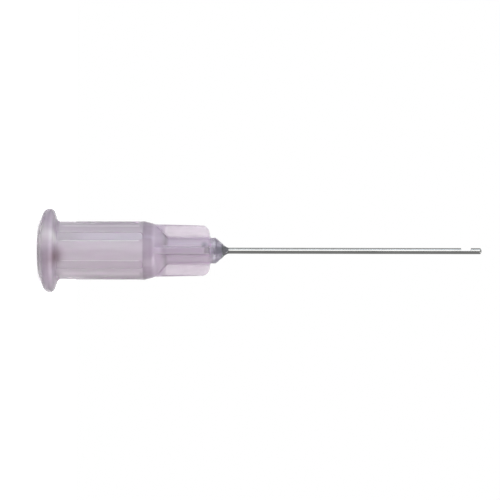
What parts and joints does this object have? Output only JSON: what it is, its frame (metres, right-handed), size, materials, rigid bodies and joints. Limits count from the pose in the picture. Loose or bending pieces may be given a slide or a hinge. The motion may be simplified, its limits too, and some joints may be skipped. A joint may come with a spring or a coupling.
{
  "type": "irrigation needle",
  "caption": "Side-vented irrigation needle: a translucent lilac hub with a taper socket, lock rim, ribbed barrel and fins, bonded to a straight steel cannula with a closed tip",
  "frame": {"origin": "centre of the hub's open mouth, on the plane of the lip that it stands on", "axes": "+Z along the axis from the mouth to the closed tip; one fin and one rib face -Y; the side slot faces -X"},
  "size_m": [0.0078, 0.0078, 0.0413],
  "materials": {
    "hub": "translucent lilac polypropylene, as moulded",
    "cannula": "bright drawn stainless steel",
    "adhesive": "clear cured adhesive with a blue-grey cast"
  },
  "bodies": {
    "root": {"hub": "hub", "cannula": "cannula", "adhesive": "adhesive"}
  },
  "joints": []
}
